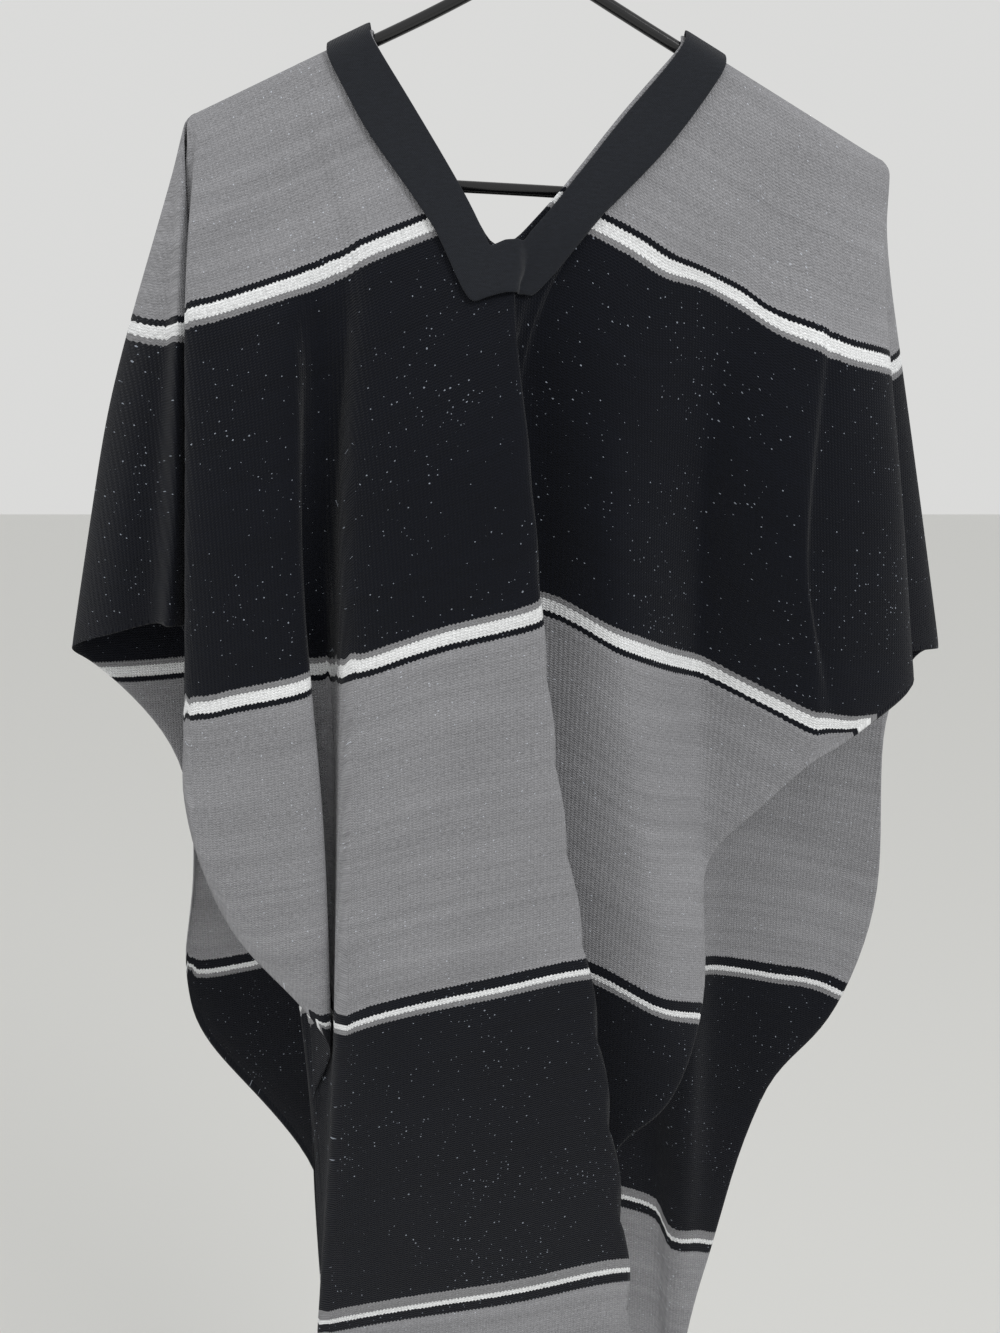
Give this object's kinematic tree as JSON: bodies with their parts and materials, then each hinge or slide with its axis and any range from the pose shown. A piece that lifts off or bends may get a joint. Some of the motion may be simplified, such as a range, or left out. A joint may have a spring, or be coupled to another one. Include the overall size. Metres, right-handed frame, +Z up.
{
  "type": "striped knit poncho top on a clothes hanger",
  "caption": "Sleeveless knit poncho top in grey and black blocks with thin stripes and a banded V neck, draped on a black tubular hanger.",
  "frame": {"origin": "inner top of the hanger's hook, where a rail holds it", "axes": "+Z up, +X to the viewer's right when facing the front, -Y towards the viewer"},
  "size_m": [0.607, 0.1459, 1.203],
  "materials": {
    "knit": "matte heather knit in grey and black blocks",
    "band": "matte woven",
    "hanger": "glossy"
  },
  "bodies": {
    "root": {"cloth_front": "knit", "cloth_back": "knit", "neck_band": "band", "hanger_arm_left": "hanger", "hanger_arm_right": "hanger", "hanger_bar": "hanger", "hanger_hook": "hanger"}
  },
  "joints": []
}
